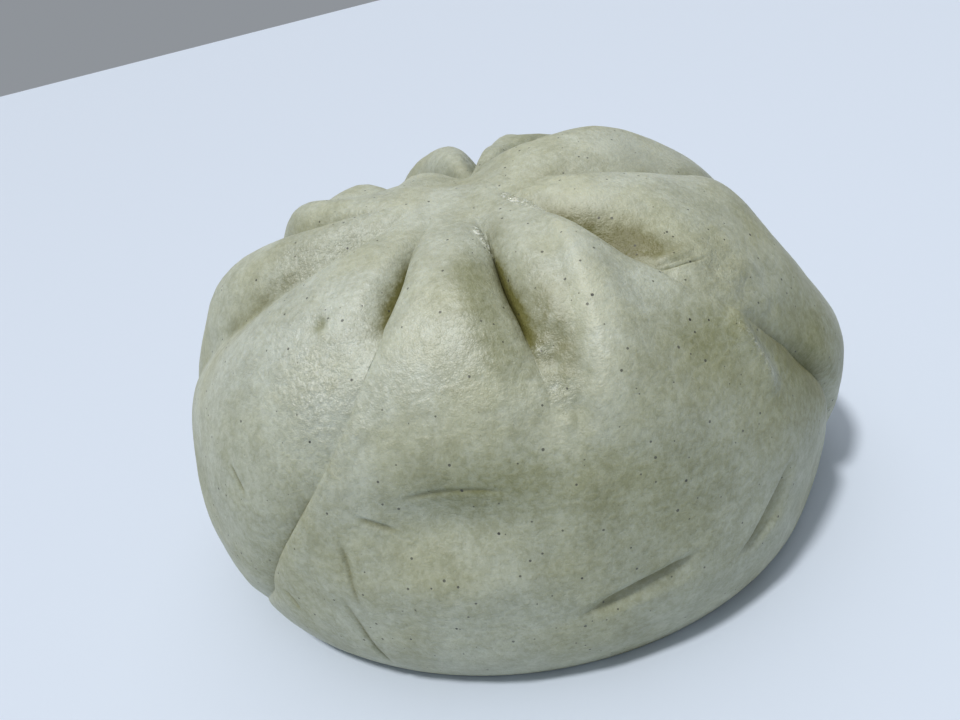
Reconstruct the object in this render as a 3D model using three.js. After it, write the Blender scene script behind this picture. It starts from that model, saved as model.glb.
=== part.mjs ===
// Steamed bun (baozi): one solid of soft wheat dough, pleated towards a knot on
// top and resting on a wide flat foot.
// Millimetres, +Z up. The origin is the centre of the foot, under the middle of
// the bun's outline. Azimuths are in degrees round +Z from +X, and polar angles
// in degrees down from the top.
import * as THREE from "three";

// The plain round body: a flattened ball, fuller than an ellipsoid and slightly
// out of round.
const RADIUS = 44.5;
const HEIGHT = 50;
const WAIST_HEIGHT = 12;
const TOP_FULLNESS = 2.3;
const FOOT_FULLNESS = 2.15;
const FOOT_DROP = 2.2; // how far the lower half would reach, in waist heights, without the foot
const OVAL = [0.013, -0.004];
const THREE_SIDED = [-0.008, -0.002];

// The top leans over a little, and the knot where the pleats meet stands off its
// middle.
const TOP_SHIFT = [-0.5, -3.5];
const KNOT_SHIFT = [2.3, 0.5];
const KNOT_NARROWNESS = 6;

// Soft dents of the crown: place x and y, radius, rise.
const CROWN = [
  [1, -2, 5, -2.2],
  [0, -15, 11, -2.2],
  [-11, 4, 6.5, -2.8],
  [6.5, 5.5, 4, -0.9],
  [-10, 10, 5.5, -1.4],
  [-25.5, 4.5, 3.5, -2.6],
];

// Broad swellings and dents of the sides: azimuth and polar angle, their spreads, rise.
const SIDES = [
  [350, 43, 14, 9, 1.2],
  [340, 57, 9, 7, -0.5],
  [350, 68, 25, 9, -1.4],
  [345, 84, 20, 8, 0.2],
  [320, 97, 18, 12, -1.3],
  [196, 72, 18, 11, -0.9],
  [156, 46, 17, 12, -3.2],
  [256, 74, 11, 6, -2.2],
  [297, 53, 7, 12, -0.6],
  [290, 62, 8, 14, 0.9],
  [320, 68, 10, 12, -1.2],
];

// One entry a pleat, by rising azimuth. `path` is the valley's azimuth at the
// four polar angles of STATIONS. Its `depth` grows over the polar angles `opens`
// and goes over `fades`; `pockets` deepen it near a polar angle: place, spread,
// depth. `before` and `after` are its sides on the lobes before and after it: the
// width as a share of the lobe near the top and low down, then the steepness near
// the top and low down. `lean` is how far those two lobes hang over the valley.
// `puff` swells the lobe after it: rise, polar angle, spread.
const STATIONS = [12, 30, 55, 90];
const PATH_LIMITS = [9, 112];
const SIDE_CHANGE = [30, 65];
const DEEPEST_LEAN = 1.5;
const EVEN_SIDE = [0.5, 0.5, 2, 2];
const PLEATS = [
  { path: [36, 30, 28, 34], depth: 2.8, opens: [2, 10], fades: [45, 85],
    before: EVEN_SIDE, after: [0.5, 0.4, 1.6, 2],
    lean: [0, 0], pockets: [], puff: [-0.2, 20, 14] },
  { path: [56, 54, 55, 58], depth: 1.6, opens: [14, 34], fades: [50, 90],
    before: EVEN_SIDE, after: EVEN_SIDE,
    lean: [0, 0], pockets: [], puff: [0.3, 30, 20] },
  { path: [78, 81, 81, 82], depth: 4.2, opens: [0, 9], fades: [40, 90],
    before: [0.8, 0.5, 1.6, 2], after: [0.5, 0.5, 2.6, 2],
    lean: [0, 0], pockets: [], puff: [0.2, 14, 10] },
  { path: [122, 114, 112, 110], depth: 5, opens: [0, 10], fades: [40, 90],
    before: [0.5, 0.5, 2.6, 2], after: [0.4, 0.5, 1.6, 2],
    lean: [0, 0], pockets: [], puff: [0.4, 33, 11] },
  { path: [160, 148, 140, 134], depth: 2.2, opens: [28, 42], fades: [50, 90],
    before: EVEN_SIDE, after: EVEN_SIDE,
    lean: [0, 0], pockets: [], puff: [1.8, 26, 9] },
  { path: [219, 178, 160, 156], depth: 3, opens: [10, 22], fades: [55, 92],
    before: EVEN_SIDE, after: [0.4, 0.4, 2.6, 2.4],
    lean: [0, 0.5], pockets: [], puff: [1.4, 38, 13] },
  { path: [231, 213, 190, 176], depth: 2, opens: [10, 24], fades: [45, 80],
    before: [0.5, 0.5, 1.8, 1.8], after: [0.45, 0.4, 2.4, 2.4],
    lean: [0, 0], pockets: [], puff: [0.2, 50, 25] },
  { path: [244, 249, 243.5, 221], depth: 0.25, opens: [18, 30], fades: [92, 114],
    before: [0.24, 0.16, 1.8, 1.6], after: [0.35, 0.1, 3, 2.6],
    lean: [0, 0.7], pockets: [[32, 9, 3.2], [82, 17, 1.3]], puff: [0.9, 40, 20] },
  { path: [268, 271.6, 274.5, 264], depth: 0.35, opens: [18, 30], fades: [50, 90],
    before: [0.42, 0.26, 1.8, 2], after: [0.45, 0.3, 2.4, 2],
    lean: [0.3, 0], pockets: [[33, 9, 3], [46, 9, 1.2]], puff: [0.6, 45, 25] },
  { path: [286, 294, 308.5, 330], depth: 0.1, opens: [6, 16], fades: [92, 110],
    before: [0.2, 0.07, 2.4, 1.8], after: [0.42, 0.13, 1.7, 1.8],
    lean: [0.8, 0], pockets: [[31, 11, 5.8], [79, 13, 2.5]], puff: [1.2, 78, 22] },
  { path: [309, 342, 357, 358], depth: 2.2, opens: [4, 16], fades: [45, 90],
    before: [0.4, 0.6, 2, 2], after: [0.8, 0.5, 1.8, 2],
    lean: [0.4, 0], pockets: [[56, 12, 1.5]], puff: [1.6, 22, 13] },
];

// Small ridges and creases between two places given as azimuth and polar angle.
// `under` and `over` are their widths on the lower and the upper side, and `sag`
// is how far they bow upwards.
const STROKES = [
  { from: [291, 20], to: [278, 70], rise: 1, under: 4, over: 6, sag: 0.6 },
  { from: [230, 84], to: [280, 85], rise: 0.4, under: 6, over: 3, sag: 0 },
  { from: [307, 55], to: [308, 73], rise: 0.7, under: 2.8, over: 2.8, sag: 0 },
  { from: [249, 69.5], to: [267, 69.5], rise: -0.4, under: 2.4, over: 1.5, sag: 1.2 },
  { from: [270, 91], to: [290, 87.5], rise: -1, under: 3, over: 1.8, sag: 0.3 },
  { from: [294, 93], to: [308, 83], rise: -1, under: 3, over: 1.8, sag: -0.5 },
];
const STROKE_ENDS = 0.3;
const MM_PER_POLAR = 0.777;

// How finely the surface is cut into triangles: columns in each lobe, and rows.
const COLUMNS = [6, 5, 7, 6, 6, 7, 10, 11, 13, 10, 9];
const CROWDING = 0.1; // how far columns are drawn towards the valleys
const ROWS = 56;
const FIRST_POLAR = 1.5;

const DOUGH_COLOUR = 0xc6cbb8;
const DOUGH_ROUGHNESS = 0.55;

const rad = THREE.MathUtils.degToRad;
const clamp = THREE.MathUtils.clamp;
const smooth = ([low, high], x) => THREE.MathUtils.smoothstep(x, low, high);
const bell = (x) => Math.exp(-x * x);
const turnBetween = (azimuth, other) => THREE.MathUtils.euclideanModulo(azimuth - other + 180, 360) - 180;

const footPolar = 180 - THREE.MathUtils.radToDeg(
  Math.acos((1 / FOOT_DROP) ** (FOOT_FULLNESS / 2)),
);

// The cubic curve through a pleat's four azimuths.
function valleyAzimuth(pleat, polar) {
  const reached = clamp(polar, ...PATH_LIMITS);
  let azimuth = 0;
  for (const [index, here] of STATIONS.entries()) {
    let weight = 1;
    for (const other of STATIONS) {
      if (other !== here) weight *= (reached - other) / (here - other);
    }
    azimuth += weight * pleat.path[index];
  }
  return azimuth;
}

function valleyDepth(pleat, polar) {
  let depth = pleat.depth * smooth(pleat.opens, polar) * (1 - smooth(pleat.fades, polar));
  for (const [place, spread, more] of pleat.pockets) depth += more * bell((polar - place) / spread);
  return depth;
}

// The width and the steepness of a valley's side.
function sideForm([widthTop, widthLow, steepTop, steepLow], polar) {
  const lowDown = smooth(SIDE_CHANGE, polar);
  return {
    width: THREE.MathUtils.lerp(widthTop, widthLow, lowDown),
    steepness: THREE.MathUtils.lerp(steepTop, steepLow, lowDown),
  };
}

function slope(side, share, polar) {
  const { width, steepness } = sideForm(side, polar);
  return Math.max(1 - share / width, 0) ** steepness;
}

// Where a valley's side leans over it: nothing at the valley, most a third of the
// way up.
function overhang(side, share, polar) {
  const reached = clamp(share / sideForm(side, polar).width, 0, 1);
  return 6.75 * reached * (1 - reached) ** 2;
}

function plainRadius(polar) {
  const fullness = polar <= 90 ? TOP_FULLNESS : FOOT_FULLNESS;
  return RADIUS * Math.sin(rad(polar)) ** (2 / fullness);
}

function sideSwellings(azimuth, polar) {
  let raised = 0;
  for (const [centre, height, wide, tall, rise] of SIDES) {
    raised += rise * bell(Math.hypot(turnBetween(azimuth, centre) / wide, (polar - height) / tall));
  }
  return raised;
}

function strokeRelief({ from, to, rise, under, over, sag }, azimuth, polar) {
  const scale = rad(plainRadius((from[1] + to[1]) / 2));
  const run = turnBetween(to[0], from[0]) * scale;
  const fall = (to[1] - from[1]) * MM_PER_POLAR;
  const length = Math.hypot(run, fall);
  const right = turnBetween(azimuth, from[0]) * scale;
  const down = (polar - from[1]) * MM_PER_POLAR;
  const along = (right * run + down * fall) / length ** 2;
  const strength = smooth([0, STROKE_ENDS], along) * (1 - smooth([1 - STROKE_ENDS, 1], along));
  const across = (right * fall - down * run) / length - sag * 4 * along * (1 - along);
  const reached = Math.min(Math.abs(across) / (across < 0 ? under : over), 1);
  return rise * strength * (1 - reached ** 2) ** 2;
}

// The surface at a share of the way across a lobe, between the valley before it
// and the valley after it, and at a polar angle.
function surfacePoint(lobe, share, polar) {
  const before = PLEATS[lobe];
  const after = PLEATS[(lobe + 1) % PLEATS.length];
  const wholeTurn = lobe === PLEATS.length - 1 ? 360 : 0;
  const start = valleyAzimuth(before, polar);
  const degrees = THREE.MathUtils.lerp(start, valleyAzimuth(after, polar) + wholeTurn, share);
  const azimuth = rad(degrees);

  const sine = Math.sin(rad(polar));
  const cosine = Math.cos(rad(polar));
  const upper = Math.max(cosine, 0);
  const fullness = polar <= 90 ? TOP_FULLNESS : FOOT_FULLNESS;
  const reach = polar <= 90 ? HEIGHT - WAIST_HEIGHT : -WAIST_HEIGHT * FOOT_DROP;
  const uneven = 1 + OVAL[0] * Math.cos(2 * azimuth) + OVAL[1] * Math.sin(2 * azimuth) +
    THREE_SIDED[0] * Math.cos(3 * azimuth) + THREE_SIDED[1] * Math.sin(3 * azimuth);
  const outward = new THREE.Vector2(sine * (HEIGHT - WAIST_HEIGHT), upper * RADIUS).normalize();

  const depthBefore = valleyDepth(before, polar);
  const depthAfter = valleyDepth(after, polar);
  const [puffRise, fullest, spread] = before.puff;
  let raised = puffRise * Math.sin(Math.PI * share) * bell((polar - fullest) / spread);
  raised -= depthBefore * slope(before.after, share, polar);
  raised -= depthAfter * slope(after.before, 1 - share, polar);
  raised += sideSwellings(degrees, polar);
  for (const stroke of STROKES) raised += strokeRelief(stroke, degrees, polar);

  const leanBefore = before.lean[1] * Math.min(depthBefore, DEEPEST_LEAN);
  const leanAfter = after.lean[0] * Math.min(depthAfter, DEEPEST_LEAN);
  const sideways = leanAfter * overhang(after.before, 1 - share, polar) -
    leanBefore * overhang(before.after, share, polar);

  const ring = plainRadius(polar) * uneven + raised * outward.x;
  const knot = upper ** KNOT_NARROWNESS;
  const x = ring * Math.cos(azimuth) - sideways * Math.sin(azimuth) +
    TOP_SHIFT[0] * upper + KNOT_SHIFT[0] * knot;
  const y = ring * Math.sin(azimuth) + sideways * Math.cos(azimuth) +
    TOP_SHIFT[1] * upper + KNOT_SHIFT[1] * knot;
  let z = WAIST_HEIGHT + reach * Math.abs(cosine) ** (2 / fullness) + raised * outward.y;
  for (const [placeX, placeY, radius, rise] of CROWN) {
    z += rise * bell(Math.hypot(x - placeX, y - placeY) / radius);
  }
  return new THREE.Vector3(x, y, Math.max(z, 0));
}

// The lobe and the share of it at each column, crowded towards the valleys.
function columnPlaces() {
  const places = [];
  for (const [lobe, count] of COLUMNS.entries()) {
    for (let column = 0; column < count; column += 1) {
      const even = column / count;
      places.push([lobe, even - CROWDING * Math.sin(2 * Math.PI * even)]);
    }
  }
  return places;
}

// Rings of points from the knot down to the foot, closed by a point at each end.
function doughGeometry() {
  const places = columnPlaces();
  const columns = places.length;
  const rings = [];
  for (let row = 0; row <= ROWS; row += 1) {
    const polar = THREE.MathUtils.lerp(FIRST_POLAR, footPolar, row / ROWS);
    for (const [lobe, share] of places) {
      const point = surfacePoint(lobe, share, polar);
      if (row === ROWS) point.z = 0;
      rings.push(point);
    }
  }
  const box = new THREE.Box3().setFromPoints(rings);
  const middle = box.getCenter(new THREE.Vector3()).setZ(0);
  const knot = new THREE.Vector3();
  for (const point of rings.slice(0, columns)) knot.addScaledVector(point, 1 / columns);
  const points = [knot, ...rings, middle];

  const triangles = [];
  const at = (row, column) => 1 + row * columns + (column % columns);
  for (let column = 0; column < columns; column += 1) {
    triangles.push(0, at(0, column), at(0, column + 1));
    for (let row = 0; row < ROWS; row += 1) {
      triangles.push(at(row, column), at(row + 1, column), at(row + 1, column + 1));
      triangles.push(at(row, column), at(row + 1, column + 1), at(row, column + 1));
    }
    triangles.push(at(ROWS, column), points.length - 1, at(ROWS, column + 1));
  }

  const geometry = new THREE.BufferGeometry().setFromPoints(points);
  geometry.setIndex(triangles);
  geometry.translate(-middle.x, -middle.y, 0);
  geometry.computeVertexNormals();
  return geometry;
}

const dough = new THREE.MeshStandardMaterial({
  color: DOUGH_COLOUR,
  roughness: DOUGH_ROUGHNESS,
  metalness: 0,
});
const bun = new THREE.Mesh(doughGeometry(), dough);
bun.name = "bun";

const steamedBun = new THREE.Group();
steamedBun.add(bun);

export default steamedBun;
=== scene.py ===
"""A steamed bun (baozi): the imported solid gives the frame, and this script dresses it with a
finer dough surface, its skin material, a pale floor, soft light and a camera."""
import math

import bmesh
import bpy
import numpy as np
from mathutils import Matrix, Vector, noise


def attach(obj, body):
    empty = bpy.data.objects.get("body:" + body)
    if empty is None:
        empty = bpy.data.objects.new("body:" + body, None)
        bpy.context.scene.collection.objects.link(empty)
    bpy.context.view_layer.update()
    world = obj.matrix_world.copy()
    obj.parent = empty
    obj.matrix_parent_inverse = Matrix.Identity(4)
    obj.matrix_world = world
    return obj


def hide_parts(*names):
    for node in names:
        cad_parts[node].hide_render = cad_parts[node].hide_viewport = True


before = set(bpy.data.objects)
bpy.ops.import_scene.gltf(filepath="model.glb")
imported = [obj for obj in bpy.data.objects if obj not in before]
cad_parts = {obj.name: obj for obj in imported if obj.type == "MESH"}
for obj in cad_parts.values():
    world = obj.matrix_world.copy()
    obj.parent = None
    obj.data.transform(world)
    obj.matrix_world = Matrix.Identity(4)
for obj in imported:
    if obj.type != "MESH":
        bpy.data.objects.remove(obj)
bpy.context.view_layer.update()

MM = 0.001

# The plain round body in millimetres, as in the CAD part. Its outline is a superellipse above the
# waist and another below it, rounder or fuller by its fullness. The lower one would reach FOOT_DROP
# waist heights down, but the flat foot cuts it off. Seen from above, the body is slightly oval and
# slightly three-sided.
RADIUS = 44.5
HEIGHT = 50.0
WAIST_HEIGHT = 12.0
TOP_FULLNESS = 2.3
FOOT_FULLNESS = 2.15
FOOT_DROP = 2.2
OVAL = (0.013, -0.004)
THREE_SIDED = (-0.008, -0.002)

# The top leans over a little, and the knot where the pleats meet stands off its middle. The higher
# the power, the nearer the knot's own shift keeps to it.
TOP_SHIFT = (-0.5, -3.5)
KNOT_SHIFT = (2.3, 0.5)
KNOT_POWER = 6

# Soft swellings and dents of the crown: place x and y, radius, height.
CROWN = [
    (1.0, -2.0, 5.0, -2.2),
    (0.0, -15.0, 11.0, -2.2),
    (-11.0, 4.0, 6.5, -2.8),
    (6.5, 5.5, 4.0, -0.9),
    (-10.0, 10.0, 5.5, -1.4),
    (-25.5, 4.5, 3.5, -2.6),
]

# Broad swellings and dents of the sides: azimuth and polar angle, their spreads, height.
SIDES = [
    (350, 43, 14, 9, 1.2),
    (340, 57, 9, 7, -0.5),
    (350, 68, 25, 9, -1.4),
    (345, 84, 20, 8, 0.2),
    (320, 97, 18, 12, -1.3),
    (196, 72, 18, 11, -0.9),
    (156, 46, 17, 12, -3.2),
    (233.6, 40.2, 2.0, 1.7, -0.5),
    (256, 74, 11, 6, -2.2),
    (297, 53, 7, 12, -0.6),
    (290, 62, 8, 14, 0.9),
    (320, 68, 10, 12, -1.2),
]

# Patches of the skin, laid out in the same way: painted shade (darker and greener), wet and shiny,
# tan with painted shade in folds, yellowish or rumpled. Where the amount of painted shade is negative,
# it paints a paler highlight; where the amount of yellow is negative, the skin is paler.
# Painted shade, darker and greener, mostly on the right, back and lower sides and in pits; a negative
# amount paints a paler highlight on tops and crests.
SHADE_AND_HIGHLIGHT_PATCHES = [
    (318, 72, 12, 14, 0.5),
    (263, 68, 12, 6, 0.65),
    (289, 75, 14, 9, 0.4),
    (300, 57, 9, 8, 0.53),
    (326, 36, 12, 8, 0.35),
    (330, 76, 8, 10, 0.4),
    (261, 36, 5, 8, 0.3),
    (350, 50, 24, 10, 0.34),
    (335, 28, 25, 12, -0.3),
    (285, 105, 30, 8, -0.1),
    (45, 14, 14, 8, 0.35),
    (233.6, 40.2, 1.8, 1.5, 1.0),
    (100, 60, 40, 25, 0.4),
    (170, 80, 25, 18, 0.3),
    (236, 47, 10, 10, -0.28),
    (226, 10, 20, 6, -0.25),
    (306, 26, 8, 8, -0.3),
    (346, 27, 14, 10, -0.25),
    (274, 63, 3, 4, -0.3),
    (205, 50, 12, 14, -0.2),
]
# Wet patches are smoother and shinier; where very wet, pale threads also paint glints.
WET_PATCHES = [
    (292, 15, 6, 3.5, 0.5),
    (269.5, 21, 4, 4.5, 0.5),
    (238, 55, 9, 12, 0.85),
    (225, 45, 14, 12, 0.6),
    (208, 24, 14, 10, 0.8),
    (12, 20, 20, 8, 0.4),
    (314, 49, 5, 6, 0.7),
    (236, 46, 7, 7, 0.4),
    (275.4, 48.5, 1.5, 2.0, 1.2),
    (276, 55.5, 2.0, 2.5, 1.2),
]
# Tan patches, which also paint shade in pockets, in grooves and in the crease round the knot.
TAN_AND_SHADE_PATCHES = [
    (308, 36, 4, 6, 0.7),
    (314, 49, 7, 6, 0.5),
    (279.5, 46, 2.2, 7, 1.8),
    (247, 33, 5, 8, 0.8),
    (205, 35, 8, 14, 0.8),
    (20, 22, 30, 7, 0.4),
    (180, 2, 400, 3, 0.8),
    (275, 23, 4, 4, 1.2),
    (285, 106, 60, 9, 0.6),
]
YELLOW_PATCHES = [
    (300, 27, 12, 9, 0.4),
    (268, 45, 6, 10, 0.25),
    (330, 55, 12, 14, 0.2),
    (222, 42, 16, 14, -0.3),
]
RUMPLED_PATCHES = [
    (314, 53, 8, 11, 1.3),
    (277, 55, 4, 13, 1.3),
    (243, 60, 4, 10, 0.5),
    (302, 15, 12, 5, 0.6),
    (268, 20, 5, 6, 0.6),
    (180, 4, 400, 12, 0.45),
]

# The belly is painted darker and greener all round, a painted shade: how much, and the polar angles
# between which that comes in.
BELLY_SHADE = 0.3
BELLY = (40, 85)

# Streaks of the skin, each between two places given as azimuth and polar angle: its amount, then
# in millimetres its width on the lower-azimuth or under side, its width on the other side, and its
# sag towards that other side.
# Painted shade along grooves, and painted highlight along crests where the amount is negative.
SHADE_AND_HIGHLIGHT_STREAKS = [
    ((290, 22), (278, 70), -0.35, 2.0, 3.5, 0.4),
    ((264, 24), (271, 58), 0.5, 3.0, 2.5, 0.0),
    ((259, 22), (254, 52), -0.15, 3.0, 3.0, 0.0),
    ((304, 52), (322, 80), 0.25, 4.5, 3.0, 0.0),
]
# Wet streaks; where very wet, pale threads also paint glints.
WET_STREAKS = [
    ((265.5, 18), (272.3, 28.5), 2.4, 0.8, 0.8, 0.0),
    ((282, 10.5), (290.5, 25), 2.4, 0.8, 0.8, 0.0),
    ((307, 55), (308, 73), 1.2, 1.0, 1.0, 0.0),
]
# Tan along grooves, with painted shade in them.
TAN_AND_SHADE_STREAKS = [
    ((269, 20), (277, 60), 1.2, 2.5, 3.5, 0.0),
    ((292, 15), (311, 50), 1.2, 0.8, 3.2, 0.0),
    ((309, 56), (325, 87), 2.0, 2.6, 2.2, 0.0),
    ((251, 20), (248, 45), 1.4, 2.8, 1.2, 0.0),
    ((214, 24), (193, 51), 0.7, 1.6, 1.6, 0.0),
    ((271, 24), (275, 50), 1.3, 0.8, 1.6, 0.0),
    ((278.5, 30), (279, 64), 0.7, 2.4, 2.0, 0.0),
]

# The polar angles at which a pleat's azimuths are given, and those beyond which it runs straight
# up or down.
STATIONS = (12.0, 30.0, 55.0, 90.0)
PATH_LIMITS = (9.0, 112.0)

# The polar angles between which a valley's sides pass from their upper form to their lower one.
SIDE_CHANGE = (30, 65)

# Past this depth in millimetres, a valley's sides lean over no further.
DEEPEST_LEAN = 1.5


def pleat(azimuths, depth, opens, fades, before, after, lean=(0.0, 0.0), pockets=(), rounded=0.0):
    """One valley: its azimuths at the stations, its depth, the polar angles between which it opens
    and those between which it fades, its side on the lobe before it and its side on the lobe after
    it, how far each side leans over it, its pockets (polar angle, spread, extra depth), and how
    rounded its floor is."""
    return dict(azimuths=azimuths, depth=depth, opens=opens, fades=fades,
                before=before, after=after, lean=lean, pockets=pockets, rounded=rounded)


# The valleys, by azimuth. Each side is a width near the top and one low down, as shares of the lobe,
# and a steepness near the top and one low down.
PLEATS = [
    pleat((36, 30, 28, 34), 2.8, (2, 10), (45, 85), (0.5, 0.5, 2.0, 2.0), (0.5, 0.4, 1.6, 2.0)),
    pleat((56, 54, 55, 58), 1.6, (14, 34), (50, 90), (0.5, 0.5, 2.0, 2.0), (0.5, 0.5, 2.0, 2.0)),
    pleat((78, 81, 81, 82), 4.2, (0, 9), (40, 90), (0.8, 0.5, 1.6, 2.0), (0.5, 0.5, 2.6, 2.0)),
    pleat((122, 114, 112, 110), 5.0, (0, 10), (40, 90), (0.5, 0.5, 2.6, 2.0), (0.4, 0.5, 1.6, 2.0)),
    pleat((160, 148, 140, 134), 2.2, (28, 42), (50, 90), (0.5, 0.5, 2.0, 2.0), (0.5, 0.5, 2.0, 2.0)),
    pleat((219, 178, 160, 156), 3.0, (10, 22), (55, 92), (0.5, 0.5, 2.0, 2.0), (0.4, 0.4, 2.6, 2.4),
          (0.0, 0.5)),
    pleat((231, 213, 190, 176), 2.0, (10, 24), (45, 80), (0.5, 0.5, 1.8, 1.8), (0.45, 0.4, 2.4, 2.4),
          rounded=0.04),
    pleat((244, 249, 243.5, 221), 0.25, (18, 30), (92, 114), (0.24, 0.16, 1.8, 1.6),
          (0.35, 0.1, 3.0, 2.6), (0.0, 0.7), ((32, 9, 3.2), (82, 17, 1.3))),
    pleat((268, 271.6, 274.5, 264), 0.35, (18, 30), (50, 90), (0.42, 0.26, 1.8, 2.0),
          (0.45, 0.3, 2.4, 2.0), (0.3, 0.0), ((33, 9, 3.0), (46, 9, 1.2)), 0.01),
    pleat((286, 294, 308.5, 330), 0.1, (6, 16), (92, 110), (0.2, 0.07, 2.4, 1.8), (0.42, 0.13, 1.7, 1.8),
          (0.8, 0.0), ((31, 11, 5.8), (79, 13, 2.5))),
    pleat((309, 342, 357, 358), 2.2, (4, 16), (45, 90), (0.4, 0.6, 2.0, 2.0), (0.8, 0.5, 1.8, 2.0),
          (0.4, 0.0), ((56, 12, 1.5),)),
]
LOBES = len(PLEATS)

# How far the lobe after each pleat puffs out: amount, polar angle of its fullest place, spread.
PUFFS = [(-0.2, 20, 14), (0.3, 30, 20), (0.2, 14, 10), (0.4, 33, 11), (1.8, 26, 9), (1.4, 38, 13),
         (0.2, 50, 25), (0.9, 40, 20), (0.6, 45, 25), (1.2, 78, 22), (1.6, 22, 13)]

# Small ridges and creases between two places given as azimuth and polar angle: rise, width on
# the lower-azimuth or under side, width on the other side, sag towards that other side, all in
# millimetres.
SOFT_STROKES = [
    ((291, 20), (278, 70), 1.1, 2.2, 5.5, 0.6),
    ((230, 84), (280, 85), 0.4, 6.0, 3.0, 0.0),
    ((307, 55), (308, 73), 0.8, 2.2, 2.2, 0.0),
    ((303.5, 41.5), (311.5, 44.5), 0.4, 0.9, 1.3, 0.0),
]
CRISP_STROKES = [
    ((271, 21), (274.4, 47), -1.8, 0.45, 0.45, 0.0),
    ((249, 69.5), (267, 69.5), -0.22, 0.8, 0.5, 1.2),
    ((270, 91), (290, 87.5), -0.8, 2.6, 1.0, 0.3),
    ((294, 93), (308, 83), -0.8, 2.8, 0.9, -0.5),
    ((240, 75), (241, 88), -0.3, 0.4, 1.0, 0.0),
    ((238, 84), (240, 109), -0.35, 0.4, 1.1, 0.4),
    ((219, 65.5), (223, 71.5), -0.25, 0.4, 0.7, 0.0),
    ((226, 87.5), (228, 91), -0.25, 0.4, 0.7, 0.0),
    ((243, 71.5), (249, 74.5), -0.3, 0.9, 0.5, 0.0),
    ((302.5, 42.8), (312.5, 46.8), -0.3, 0.25, 0.45, -0.3),
]

# Millimetres down the side for each degree of polar angle, and the share of a stroke's length that
# tapers at either end.
MM_PER_POLAR = 0.777
TAPER = 0.3


def smooth(low, high, value):
    """0 below the low value, 1 above the high one, and a smooth step between them."""
    share = np.clip((value - low) / (high - low), 0.0, 1.0)
    return share * share * (3 - 2 * share)


def valley_azimuth(fold, polar):
    """The cubic curve through a pleat's four azimuths."""
    reached = np.clip(polar, *PATH_LIMITS)
    azimuth = 0.0
    for here, value in zip(STATIONS, fold["azimuths"]):
        weight = 1.0
        for other in STATIONS:
            if other != here:
                weight = weight * (reached - other) / (here - other)
        azimuth = azimuth + weight * value
    return azimuth


def valley_depth(fold, polar):
    depth = fold["depth"] * smooth(*fold["opens"], polar) * (1 - smooth(*fold["fades"], polar))
    for place, spread, more in fold["pockets"]:
        depth = depth + more * np.exp(-(((polar - place) / spread) ** 2))
    return depth


def side_form(side, polar):
    """The width and the steepness of a valley's side."""
    low_down = smooth(*SIDE_CHANGE, polar)
    return side[0] + (side[1] - side[0]) * low_down, side[2] + (side[3] - side[2]) * low_down


def slope(side, rounded, share, polar):
    """How far down a valley's side a place is: 1 on the valley's floor, 0 past the side's width."""
    width, steepness = side_form(side, polar)
    reached = np.hypot(share, rounded) - rounded
    return np.clip(1 - reached / width, 0.0, 1.0) ** steepness


def overhang(side, share, polar):
    """How far a valley's side leans over it: 0 at the valley, and 1 a third of the way up."""
    width, _ = side_form(side, polar)
    reached = np.clip(share / width, 0.0, 1.0)
    return 27 / 4 * reached * (1 - reached) ** 2


def ring_radius(polar):
    """The plain body's radius at a polar angle."""
    sine, cosine = np.sin(np.radians(polar)), np.cos(np.radians(polar))
    return RADIUS * sine ** (2 / np.where(cosine >= 0, TOP_FULLNESS, FOOT_FULLNESS))


def turn_between(azimuth, other):
    """The turn from the other azimuth to this one, between -180 and 180 degrees."""
    return (azimuth - other + 180) % 360 - 180


def patches(table, azimuth, polar):
    """The sum of the table's soft round patches."""
    total = 0.0
    for centre, height, wide, tall, amount in table:
        away = np.hypot(turn_between(azimuth, centre) / wide, (polar - height) / tall)
        total = total + amount * np.exp(-(away ** 2))
    return total


def stroke_shape(stroke, azimuth, polar):
    """How strong a stroke is at each place, and where the place lies across its width (0 to 1)."""
    start, end, _, under, over, sag = stroke
    scale = ring_radius((start[1] + end[1]) / 2) * math.pi / 180
    run = turn_between(end[0], start[0]) * scale
    fall = (end[1] - start[1]) * MM_PER_POLAR
    length = math.hypot(run, fall)
    right = turn_between(azimuth, start[0]) * scale
    down = (polar - start[1]) * MM_PER_POLAR
    along = (right * run + down * fall) / length ** 2
    strength = smooth(0.0, TAPER, along) * (1 - smooth(1 - TAPER, 1.0, along))
    across = (right * fall - down * run) / length - sag * 4 * along * (1 - along)
    return strength, np.clip(np.abs(across) / np.where(across < 0, under, over), 0.0, 1.0)


def streaks(table, azimuth, polar):
    """The sum of the table's soft streaks."""
    total = 0.0
    for streak in table:
        strength, reached = stroke_shape(streak, azimuth, polar)
        total = total + streak[2] * strength * (1 - reached ** 2) ** 2
    return total


def stroke_relief(azimuth, polar):
    """The height the strokes add, how deep the creases among them cut, and the crease lines."""
    raised, cut, line = streaks(SOFT_STROKES, azimuth, polar), 0.0, 0.0
    for stroke in CRISP_STROKES:
        strength, reached = stroke_shape(stroke, azimuth, polar)
        cut = cut - stroke[2] * strength * (1 - reached) ** 1.5
        line = np.maximum(line, strength * (1 - reached) ** 3)
    return raised - cut, cut, line


def lobe_azimuth(index, share, polar):
    """The azimuth of a place that lies this share of the way across a lobe."""
    start = valley_azimuth(PLEATS[index], polar)
    end = valley_azimuth(PLEATS[(index + 1) % LOBES], polar) + 360 * (index == LOBES - 1)
    return start + (end - start) * share


# What is known of the skin at each point: how deep and overhung in a fold and how near a fine crease,
# both of which get painted shade; how much painted shade or, where negative, painted highlight; how
# wet; how tan, a tan that also paints shade in grooves; how yellow and how rumpled.
SKIN = ("fold", "crease", "shade_and_highlight", "wet", "tan_and_shade", "yellow", "rumpled")


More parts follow.
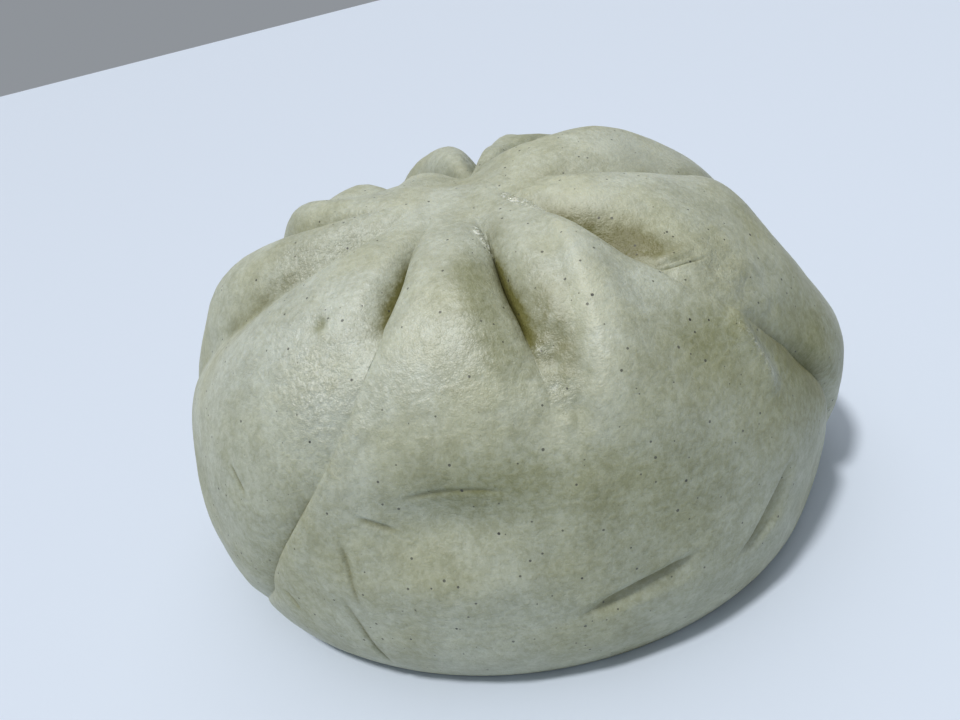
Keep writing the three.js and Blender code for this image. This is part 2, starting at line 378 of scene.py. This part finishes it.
def lobe_points(index, share, polar):
    """Points of one lobe, and the values of SKIN at each."""
    before, after = PLEATS[index], PLEATS[(index + 1) % LOBES]
    degrees = lobe_azimuth(index, share, polar)
    azimuth = np.radians(degrees)

    sine, cosine = np.sin(np.radians(polar)), np.cos(np.radians(polar))
    upper = np.maximum(cosine, 0.0)
    fullness = np.where(cosine >= 0, TOP_FULLNESS, FOOT_FULLNESS)
    reach = np.where(cosine >= 0, HEIGHT - WAIST_HEIGHT, -WAIST_HEIGHT * FOOT_DROP)
    uneven = (1 + OVAL[0] * np.cos(2 * azimuth) + OVAL[1] * np.sin(2 * azimuth)
              + THREE_SIDED[0] * np.cos(3 * azimuth) + THREE_SIDED[1] * np.sin(3 * azimuth))
    ring = ring_radius(polar) * uneven
    height = WAIST_HEIGHT + reach * np.abs(cosine) ** (2 / fullness)

    out_level, out_up = sine * (HEIGHT - WAIST_HEIGHT), upper * RADIUS
    length = np.hypot(out_level, out_up)
    out_level, out_up = out_level / length, out_up / length

    depth_before, depth_after = valley_depth(before, polar), valley_depth(after, polar)
    sunk_before = depth_before * slope(before["after"], before["rounded"], share, polar)
    sunk_after = depth_after * slope(after["before"], after["rounded"], 1 - share, polar)
    sunk = sunk_before + sunk_after
    # Painted shade: a flank is painted darker where the lobe across the valley leans over it.
    overhung_shade = sunk_before * (0.5 + before["lean"][0]) + sunk_after * (0.5 + after["lean"][1])
    amount, fullest, spread = PUFFS[index]
    puff = amount * np.sin(np.pi * share) * np.exp(-(((polar - fullest) / spread) ** 2))
    relief, cut, line = stroke_relief(degrees, polar)
    raised = puff - sunk + relief + patches(SIDES, degrees, polar)
    lean_before = before["lean"][1] * np.minimum(depth_before, DEEPEST_LEAN)
    lean_after = after["lean"][0] * np.minimum(depth_after, DEEPEST_LEAN)
    sideways = (lean_after * overhang(after["before"], 1 - share, polar)
                - lean_before * overhang(before["after"], share, polar))

    ring = ring + raised * out_level
    shift_x = TOP_SHIFT[0] * upper + KNOT_SHIFT[0] * upper ** KNOT_POWER
    shift_y = TOP_SHIFT[1] * upper + KNOT_SHIFT[1] * upper ** KNOT_POWER
    x = ring * np.cos(azimuth) + shift_x - sideways * np.sin(azimuth)
    y = ring * np.sin(azimuth) + shift_y + sideways * np.cos(azimuth)
    z = height + raised * out_up
    for centre_x, centre_y, radius, rise in CROWN:
        away = np.hypot(x - centre_x, y - centre_y) / radius
        z = z + rise * np.exp(-(away ** 2))
    # Painted shade, darker and greener; where negative, a paler painted highlight.
    shade_and_highlight = patches(SHADE_AND_HIGHLIGHT_PATCHES, degrees, polar) + streaks(SHADE_AND_HIGHLIGHT_STREAKS, degrees, polar)
    shade_and_highlight = shade_and_highlight + BELLY_SHADE * smooth(*BELLY, polar)
    wet = patches(WET_PATCHES, degrees, polar) + streaks(WET_STREAKS, degrees, polar)
    # Tan, with painted shade in pockets and grooves.
    tan_and_shade = patches(TAN_AND_SHADE_PATCHES, degrees, polar) + streaks(TAN_AND_SHADE_STREAKS, degrees, polar)
    yellow = patches(YELLOW_PATCHES, degrees, polar)
    rumpled = patches(RUMPLED_PATCHES, degrees, polar)
    skin = [overhung_shade + cut, line, shade_and_highlight, wet, tan_and_shade, yellow, rumpled]
    return np.stack([x, y, np.maximum(z, 0.0)], axis=-1), np.stack(skin, axis=-1)


# The mesh: how many columns each lobe has and how much they crowd towards its valleys, rows from
# knot to foot, polar angle of the first row, and the finer cut near creases.
COLUMNS = (20, 12, 24, 18, 18, 26, 54, 60, 72, 58, 44)
CROWDING = 0.1
ROWS = 204
FIRST_POLAR = 0.6
FINER_CUTS = 2


def plain_grid():
    """Places on the dough as (lobe + share, polar angle), and the faces between them."""
    foot_polar = 180 - math.degrees(math.acos((1 / FOOT_DROP) ** (FOOT_FULLNESS / 2)))
    columns = []
    for index, count in enumerate(COLUMNS):
        even = np.arange(count) / count
        columns.extend(index + even - CROWDING * np.sin(2 * np.pi * even))
    polars = np.linspace(FIRST_POLAR, foot_polar, ROWS)
    places = [(column, polar) for column in columns for polar in polars]
    faces = []
    for column in range(len(columns)):
        here, there = column * ROWS, (column + 1) % len(columns) * ROWS
        faces.extend((here + row, here + row + 1, there + row + 1, there + row)
                     for row in range(ROWS - 1))
    return places, faces


def shaped(places):
    """The points of the dough at these places, and what the skin is like there."""
    points, skin = np.zeros((len(places), 3)), np.zeros((len(places), len(SKIN)))
    lobes = np.minimum(places[:, 0].astype(int), LOBES - 1)
    for index in range(LOBES):
        chosen = lobes == index
        share = places[chosen, 0] - index
        points[chosen], skin[chosen] = lobe_points(index, share, places[chosen, 1])
    return points, skin


def near_a_crease(places):
    """True for the places on a crisp stroke."""
    near = np.zeros(len(places), dtype=bool)
    lobes = np.minimum(places[:, 0].astype(int), LOBES - 1)
    for index in range(LOBES):
        chosen = lobes == index
        polar = places[chosen, 1]
        degrees = lobe_azimuth(index, places[chosen, 0] - index, polar)
        for stroke in CRISP_STROKES:
            strength, reached = stroke_shape(stroke, degrees, polar)
            near[chosen] |= (strength > 0) & (reached < 1)
    return near


def dough_mesh():
    """A closed mesh, finer along the crisp strokes: its points, the skin at each and its faces."""
    places, faces = plain_grid()
    build = bmesh.new()
    corners = [build.verts.new((column, polar, 0.0)) for column, polar in places]
    for face in faces:
        build.faces.new([corners[corner] for corner in face])
    near = near_a_crease(np.array(places))
    build.verts.index_update()
    cut = {edge for face in build.faces if any(near[corner.index] for corner in face.verts)
           for edge in face.edges}
    bmesh.ops.subdivide_edges(build, edges=list(cut), cuts=FINER_CUTS, use_grid_fill=True)
    build.verts.index_update()
    places = np.array([corner.co[:2] for corner in build.verts])
    faces = [[corner.index for corner in face.verts] for face in build.faces]
    build.free()

    # The grid's own points keep their numbers, and the finer cut's points come after them.
    points, skin = shaped(places)
    first, last = places[:, 1].min(), places[:, 1].max()
    count = sum(COLUMNS)
    points[np.isclose(places[:, 1], last), 2] = 0.0
    knot = points[np.isclose(places[:, 1], first)].mean(axis=0)
    low, high = points.min(axis=0), points.max(axis=0)
    middle = np.array([(low[0] + high[0]) / 2, (low[1] + high[1]) / 2, 0.0])
    points = np.concatenate([points, [knot, middle]]) - middle
    top, foot = len(places), len(places) + 1
    for column in range(count):
        here, there = column * ROWS, (column + 1) % count * ROWS
        faces.append((top, here, there))
        faces.append((here + ROWS - 1, foot, there + ROWS - 1))
    return points, np.concatenate([skin, np.zeros((2, len(SKIN)))]), faces


# The uneven skin, in millimetres: sizes of its lumps and how far they stand out, the same for the
# rumpled patches, and the height over the foot in which both come in.
LUMPS = ((17.0, 0.40), (7.0, 0.15), (2.6, 0.06))
CRUMPLES = ((3.2, 0.35), (1.6, 0.25))
LEAST_RUMPLED = 0.05
SMOOTH_FOOT = 6.0


def roughen(mesh, rumpled):
    """Lumps on the skin, which fade out towards the foot."""
    outward = [corner.normal.copy() for corner in mesh.vertices]
    for corner, normal, more in zip(mesh.vertices, outward, rumpled):
        place = corner.co / MM
        height = sum(tall * noise.noise(place / size) for size, tall in LUMPS)
        if more > LEAST_RUMPLED:
            height += more * sum(tall * noise.noise(place / size) for size, tall in CRUMPLES)
        share = min(max(place.z / SMOOTH_FOOT, 0.0), 1.0)
        corner.co += normal * (height * share * MM)


def make_bun(material):
    points, skin, faces = dough_mesh()
    mesh = bpy.data.meshes.new("bun_dough")
    mesh.from_pydata((points * MM).tolist(), [], faces)
    mesh.update()
    roughen(mesh, skin[:, SKIN.index("rumpled")])
    mesh.shade_smooth()
    for name, values in zip(SKIN, skin.T):
        mesh.attributes.new(name, "FLOAT", "POINT").data.foreach_set("value", values)
    mesh.materials.append(material)
    bun = bpy.data.objects.new("bun_dough", mesh)
    bpy.context.scene.collection.objects.link(bun)
    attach(bun, "root")
    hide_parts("bun")


class Nodes:
    """A short way to write a material's nodes."""

    def __init__(self, name):
        self.material = bpy.data.materials.new(name)
        self.material.use_nodes = True
        self.tree = self.material.node_tree
        self.shader = self.tree.nodes["Principled BSDF"]

    def set(self, socket, value):
        if isinstance(value, bpy.types.NodeSocket):
            self.tree.links.new(value, socket)
        else:
            socket.default_value = value

    def add(self, kind, inputs, **settings):
        node = self.tree.nodes.new(kind)
        for key, value in settings.items():
            setattr(node, key, value)
        for key, value in inputs.items():
            self.set(node.inputs[key], value)
        return node

    def noise(self, place, kind):
        scale, detail, roughness = kind
        inputs = {"Vector": place, "Scale": scale, "Detail": detail, "Roughness": roughness}
        return self.add("ShaderNodeTexNoise", inputs).outputs["Fac"]

    def attribute(self, name):
        return self.add("ShaderNodeAttribute", {}, attribute_name=name).outputs["Fac"]

    def dots(self, place, scale):
        """The distance to the nearest of many scattered dots, and a random value for each."""
        node = self.add("ShaderNodeTexVoronoi", {"Vector": place, "Scale": scale})
        chance = self.add("ShaderNodeSeparateColor", {"Color": node.outputs["Color"]})
        return node.outputs["Distance"], chance.outputs["Red"]

    def spread(self, value, low, high, to_low=0.0, to_high=1.0):
        """The value, carried over smoothly from one range to another."""
        inputs = {"Value": value, "From Min": low, "From Max": high, "To Min": to_low, "To Max": to_high}
        node = self.add("ShaderNodeMapRange", inputs, interpolation_type="SMOOTHSTEP")
        return node.outputs["Result"]

    def math(self, operation, first, second):
        return self.add("ShaderNodeMath", {0: first, 1: second}, operation=operation).outputs[0]

    def blend(self, share, first, second, kind="MIX"):
        node = self.add("ShaderNodeMix", {0: share, 6: first, 7: second},
                        data_type="RGBA", blend_type=kind)
        return node.outputs[2]


LIGHT_DOUGH = (0.53, 0.565, 0.485, 1)
GREEN_DOUGH = (0.170, 0.175, 0.055, 1)
YELLOW_DOUGH = (0.46, 0.46, 0.29, 1)
# Tan, also the colour of the painted shade in folds and creases.
TAN_AND_SHADE_DOUGH = (0.150, 0.143, 0.038, 1)
# Pale threads: white strands of torn dough, and painted glints on wet dough.
STRAND_AND_GLINT_DOUGH = (0.78, 0.80, 0.70, 1)
PEPPER = (0.020, 0.018, 0.012, 1)

# The noises of the skin: how many patches a metre, detail and roughness.
LARGE = (55.0, 3.0, 0.5)
YELLOWISH = (110.0, 4.0, 0.6)
MOTTLE = (180.0, 5.0, 0.85)
FINE = (1300.0, 3.0, 0.7)
STRANDS = (2300.0, 2.0, 0.6)

# How green or yellow the dough is where a noise is low and where it is high. The greens are added
# up, and the strength scales their sum.
GREEN_BY_LARGE = (0.21, 0.31)
GREEN_BY_MOTTLE = (-0.09, 0.11)
GREEN_BY_FINE = (-0.12, 0.14)
GREEN_STRENGTH = 0.75
YELLOW_BY_NOISE = (0.16, 0.50)

# What the mottle multiplies the colour by, where it is low and where it is high.
MOTTLE_BRIGHTNESS = (1.06, 0.93)

# How much tan and painted shade the deepest folds get, how much of a crease is painted shade, how
# much of a tan patch shows on open dough and in a fold, and what the mottle leaves of the tan and
# shade where it is low and high.
DEEP_FOLD_SHADE = 0.8
CREASE_SHADE = 0.75
TAN_AND_SHADE_BY_FOLD = (0.3, 0.55)
TAN_AND_SHADE_BY_MOTTLE = (0.5, 1.1)

# The dark specks: how many a metre along a line, the largest's radius as a share of their spacing,
# and how dark they are. Then the smallest's radius, how ragged their rims are and how soft.
SPECKS = ((430.0, 0.12, 0.95), (800.0, 0.175, 0.75))
SMALLEST_SPECK = 0.03
RAGGED_RIM = 0.10
SOFT_RIM = 0.015

# The sheen: roughness where the large patches are low and high, and how much wet takes off it.
DRY_ROUGHNESS = (0.45, 0.55)
WET_SHEEN = 0.18
SPECULAR = 0.7

# The small relief: how much of it is mottle, grain, and more grain where wet; its strength, and
# its height in metres.
MOTTLE_RELIEF = 0.5
GRAIN_RELIEF = 0.40
WET_GRAIN = 0.7
BUMP_STRENGTH = 0.6
BUMP_HEIGHT = 0.0007

# Light goes a little way into the dough: how much of it, how far for each colour as a share of the
# scale, and the scale in metres.
INNER_LIGHT = 0.15
INNER_RADIUS = (1.0, 0.8, 0.5)
INNER_SCALE = 0.0015


def dough_colour(nodes, place, large, mottle, fine):
    fold, crease, shade_and_highlight, tan_and_shade, wet = (nodes.attribute(name)
                                    for name in ("fold", "crease", "shade_and_highlight", "tan_and_shade", "wet"))
    # The green sum also carries the painted shade, and the painted highlight where that is negative.
    green = nodes.math("ADD", nodes.spread(large, 0.38, 0.68, *GREEN_BY_LARGE), shade_and_highlight)
    green = nodes.math("ADD", green, nodes.spread(mottle, 0.33, 0.67, *GREEN_BY_MOTTLE))
    green = nodes.math("ADD", green, nodes.spread(fine, 0.35, 0.65, *GREEN_BY_FINE))
    green = nodes.math("MULTIPLY", green, GREEN_STRENGTH)
    yellow = nodes.spread(nodes.noise(place, YELLOWISH), 0.42, 0.64, *YELLOW_BY_NOISE)
    yellow = nodes.math("ADD", yellow, nodes.attribute("yellow"))
    colour = nodes.blend(yellow, LIGHT_DOUGH, YELLOW_DOUGH)
    colour = nodes.blend(green, colour, GREEN_DOUGH)
    # Tan and painted shade: deeper and more overhung folds, and the fine creases, are painted darker and
    # tan.
    tan_and_shade = nodes.math("MULTIPLY", tan_and_shade, nodes.spread(fold, 0.0, 2.0, *TAN_AND_SHADE_BY_FOLD))
    tan_and_fold_shade = nodes.math("ADD", nodes.spread(fold, 0.2, 4.0, 0.0, DEEP_FOLD_SHADE), tan_and_shade)
    tan_and_fold_shade = nodes.math("MULTIPLY", tan_and_fold_shade, nodes.spread(mottle, 0.25, 0.65, *TAN_AND_SHADE_BY_MOTTLE))
    tan_and_fold_shade = nodes.math("MAXIMUM", tan_and_fold_shade, nodes.math("MULTIPLY", crease, CREASE_SHADE))
    colour = nodes.blend(tan_and_fold_shade, colour, TAN_AND_SHADE_DOUGH)
    brightness = nodes.spread(mottle, 0.33, 0.67, *MOTTLE_BRIGHTNESS)
    colour = nodes.blend(1.0, colour, brightness, "MULTIPLY")
    # Pale threads where the dough is very wet: partly white strands of torn dough, partly painted
    # glints.
    strands = nodes.spread(nodes.noise(place, STRANDS), 0.47, 0.62)
    strands_and_glints = nodes.math("MULTIPLY", nodes.spread(wet, 0.75, 1.8), strands)
    colour = nodes.blend(strands_and_glints, colour, STRAND_AND_GLINT_DOUGH)
    for scale, largest, darkness in SPECKS:
        away, chance = nodes.dots(place, scale)
        uneven = nodes.math("ADD", away, nodes.math("MULTIPLY", fine, RAGGED_RIM))
        radius = nodes.spread(chance, 0.0, 1.0, SMALLEST_SPECK, largest)
        inside = nodes.spread(nodes.math("SUBTRACT", radius, uneven), -SOFT_RIM, SOFT_RIM)
        colour = nodes.blend(nodes.math("MULTIPLY", inside, darkness), colour, PEPPER)
    return colour


def dough_material():
    nodes = Nodes("dough")
    place = nodes.add("ShaderNodeTexCoord", {}).outputs["Object"]
    large, mottle, fine = (nodes.noise(place, kind) for kind in (LARGE, MOTTLE, FINE))
    nodes.set(nodes.shader.inputs["Base Color"], dough_colour(nodes, place, large, mottle, fine))

    wet = nodes.attribute("wet")
    dry = nodes.spread(large, 0.35, 0.65, *DRY_ROUGHNESS)
    roughness = nodes.math("SUBTRACT", dry, nodes.math("MULTIPLY", wet, WET_SHEEN))
    nodes.set(nodes.shader.inputs["Roughness"], roughness)
    grain = nodes.math("ADD", nodes.math("MULTIPLY", wet, WET_GRAIN), GRAIN_RELIEF)
    grain = nodes.math("MULTIPLY", fine, grain)
    height = nodes.math("ADD", nodes.math("MULTIPLY", mottle, MOTTLE_RELIEF), grain)
    relief = {"Height": height, "Strength": BUMP_STRENGTH, "Distance": BUMP_HEIGHT}
    bump = nodes.add("ShaderNodeBump", relief)
    nodes.set(nodes.shader.inputs["Normal"], bump.outputs["Normal"])
    nodes.shader.inputs["Specular IOR Level"].default_value = SPECULAR
    nodes.shader.inputs["Subsurface Weight"].default_value = INNER_LIGHT
    nodes.shader.inputs["Subsurface Radius"].default_value = INNER_RADIUS
    nodes.shader.inputs["Subsurface Scale"].default_value = INNER_SCALE
    return nodes.material


FLOOR_REACH = 3.0
FLOOR_COLOUR = (0.66, 0.73, 0.84, 1)
FLOOR_ROUGHNESS = 0.6


def make_floor():
    mesh = bpy.data.meshes.new("floor")
    corners = [(x * FLOOR_REACH, y * FLOOR_REACH, 0) for x, y in ((-1, -1), (1, -1), (1, 1), (-1, 1))]
    mesh.from_pydata(corners, [], [(0, 1, 2, 3)])
    floor = bpy.data.objects.new("floor", mesh)
    bpy.context.scene.collection.objects.link(floor)
    nodes = Nodes("floor")
    nodes.shader.inputs["Base Color"].default_value = FLOOR_COLOUR
    nodes.shader.inputs["Roughness"].default_value = FLOOR_ROUGHNESS
    mesh.materials.append(nodes.material)


SKY_COLOUR = (0.86, 0.92, 1.0, 1)
SKY_STRENGTH = 0.32
LAMP_COLOUR = (1.0, 0.99, 0.97)

# The lamps: direction they shine from, how wide they are in degrees, and strength.
LAMPS = {
    "key": ((-0.25, -0.29, 0.92), 7.0, 2.0),
    "ceiling": ((0.05, 0.20, 0.98), 60.0, 0.6),
}


def soft_sun(name, direction, spread, strength):
    data = bpy.data.lights.new(name, "SUN")
    data.angle, data.energy, data.color = math.radians(spread), strength, LAMP_COLOUR
    light = bpy.data.objects.new(name, data)
    light.rotation_euler = Vector(direction).to_track_quat("Z", "Y").to_euler()
    bpy.context.scene.collection.objects.link(light)


def make_lights():
    world = bpy.data.worlds.new("studio")
    bpy.context.scene.world = world
    world.use_nodes = True
    world.node_tree.nodes["Background"].inputs["Color"].default_value = SKY_COLOUR
    world.node_tree.nodes["Background"].inputs["Strength"].default_value = SKY_STRENGTH
    for name, lamp in LAMPS.items():
        soft_sun(name, *lamp)


# The camera: held close, looking along +Y and down, and rolled. Lengths are in millimetres, and
# turns in degrees.
CAMERA_PLACE = (-2.5, -101.3, 71.8)
CAMERA_PITCH = 27.0
CAMERA_ROLL = -14.3
LENS = 29.14
SENSOR = 36.0
NEAREST = 5.0


def make_camera():
    data = bpy.data.cameras.new("camera")
    data.lens, data.sensor_width = LENS, SENSOR
    data.clip_start = NEAREST * MM
    camera = bpy.data.objects.new("camera", data)
    turn = Matrix.Rotation(math.radians(90 - CAMERA_PITCH), 4, "X")
    roll = Matrix.Rotation(math.radians(CAMERA_ROLL), 4, "Z")
    camera.matrix_world = Matrix.Translation(Vector(CAMERA_PLACE) * MM) @ turn @ roll
    bpy.context.scene.collection.objects.link(camera)
    bpy.context.scene.camera = camera


bpy.context.scene.view_settings.view_transform = "Standard"
make_camera()
make_lights()
make_floor()
make_bun(dough_material())
